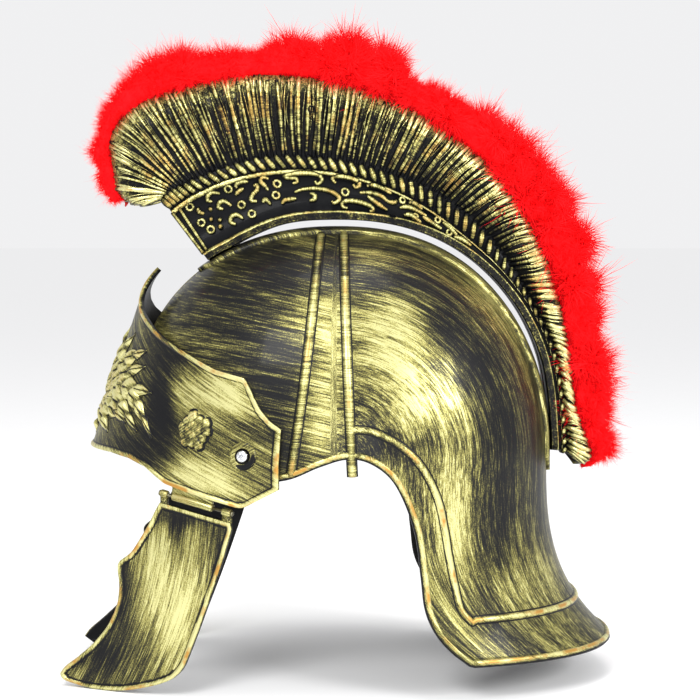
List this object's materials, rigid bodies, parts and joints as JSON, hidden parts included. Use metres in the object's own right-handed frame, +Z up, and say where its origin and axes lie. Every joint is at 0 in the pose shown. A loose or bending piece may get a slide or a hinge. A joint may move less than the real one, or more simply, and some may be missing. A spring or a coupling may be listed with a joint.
{
  "type": "roman costume helmet",
  "caption": "Plastic costume helmet in the Roman style: domed bowl with neck guard, brow plate, hinged cheek guards and a fan crest edged with feathers.",
  "frame": {"origin": "middle of the head opening at brow level, where the helmet sits on a head", "axes": "-Y the way the helmet faces, +Z up, +X the wearer's left"},
  "size_m": [0.1912, 0.3093, 0.3595],
  "materials": {
    "antique_gold": "black plastic dry-brushed with antique gold, glossy",
    "screw_steel": "bright plated steel",
    "hinge_steel": "dull dark steel",
    "red_marabou": "fluffy dyed feather"
  },
  "bodies": {
    "helmet": {"bowl": "antique_gold", "brow_plate": "antique_gold", "brow_screw_left": "screw_steel", "brow_screw_right": "screw_steel", "hinge_pin_left": "hinge_steel", "hinge_pin_right": "hinge_steel", "crest_left": "antique_gold", "crest_right": "antique_gold", "feather_trim": "red_marabou"},
    "guard_left": {"cheek_guard_left": "antique_gold"},
    "guard_right": {"cheek_guard_right": "antique_gold"}
  },
  "joints": [
    {"name": "guard_left_hinge", "type": "hinge", "parent": "helmet", "child": "guard_left", "pos_m": [0.07912, -0.07309, -0.02154], "axis": [-0.4032, -0.8937, 0.1969], "range_deg": [-20, 90]},
    {"name": "guard_right_hinge", "type": "hinge", "parent": "helmet", "child": "guard_right", "pos_m": [-0.07912, -0.07309, -0.02154], "axis": [-0.4032, 0.8937, -0.1969], "range_deg": [-20, 90]}
  ]
}
